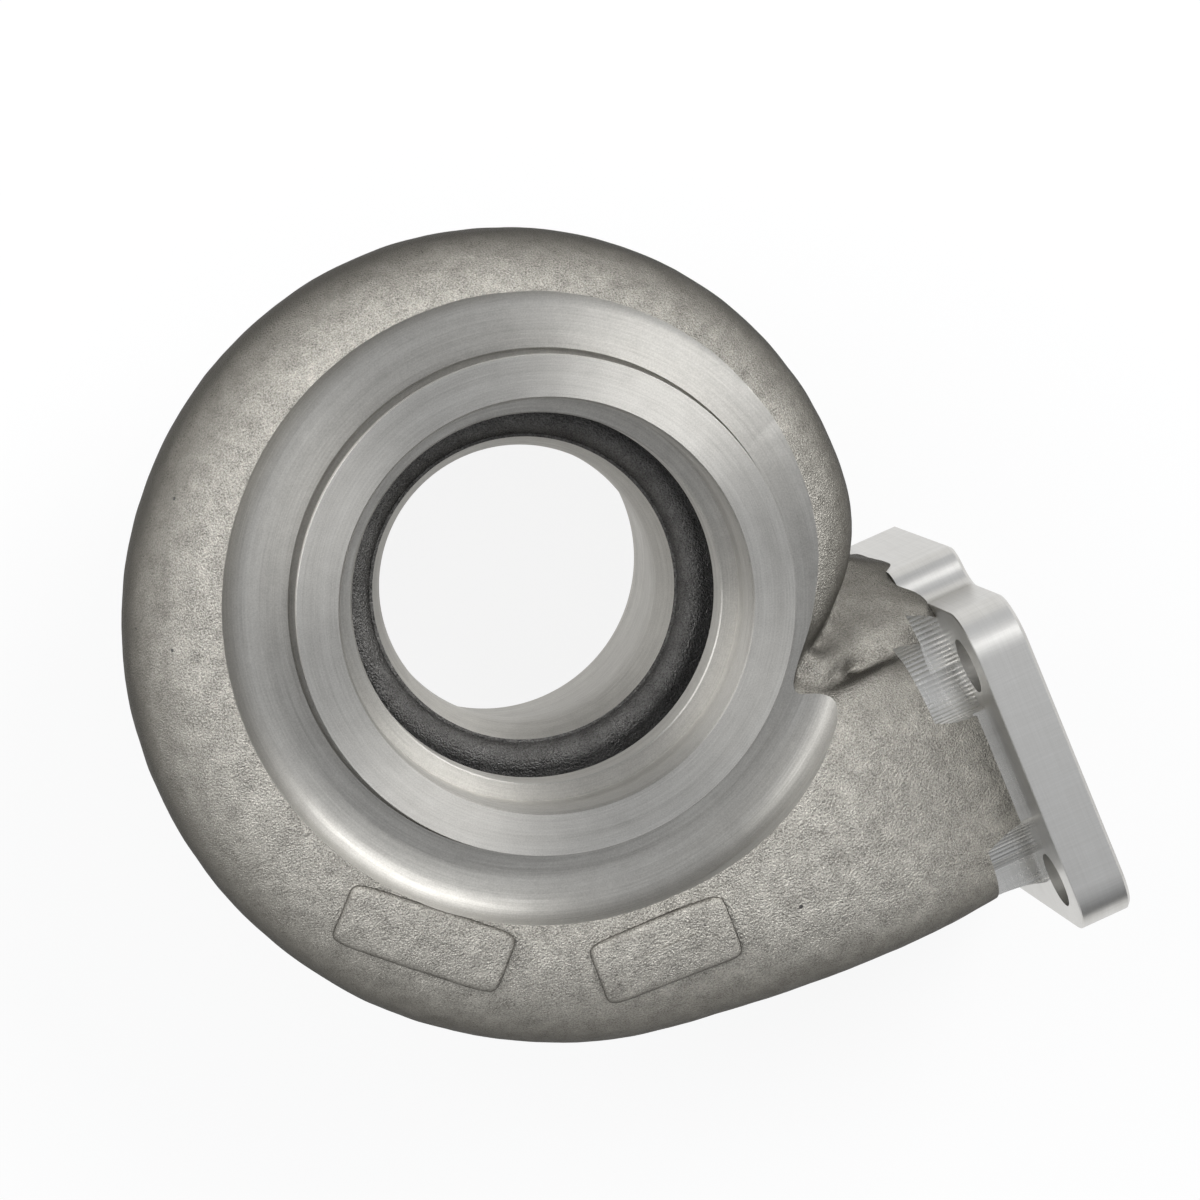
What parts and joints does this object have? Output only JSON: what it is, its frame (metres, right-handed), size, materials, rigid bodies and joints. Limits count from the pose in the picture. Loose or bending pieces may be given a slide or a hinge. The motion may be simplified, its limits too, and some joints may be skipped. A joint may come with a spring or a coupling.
{
  "type": "turbine housing",
  "caption": "Cast spiral turbine housing with a turned clamp face, bored wheel chamber, bolted inlet flange and clamp outlet.",
  "frame": {"origin": "on the turbine axis, in the plane of the outlet clamp flange's face, which the part rests on", "axes": "+Z along the turbine axis towards the bearing housing, +X out of the inlet flange"},
  "size_m": [0.1961, 0.2101, 0.1167],
  "materials": {
    "cast_housing": "shot-blasted casting, light grey, with bright turned and milled faces"
  },
  "bodies": {
    "root": {"turbine_housing": "cast_housing"}
  },
  "joints": []
}
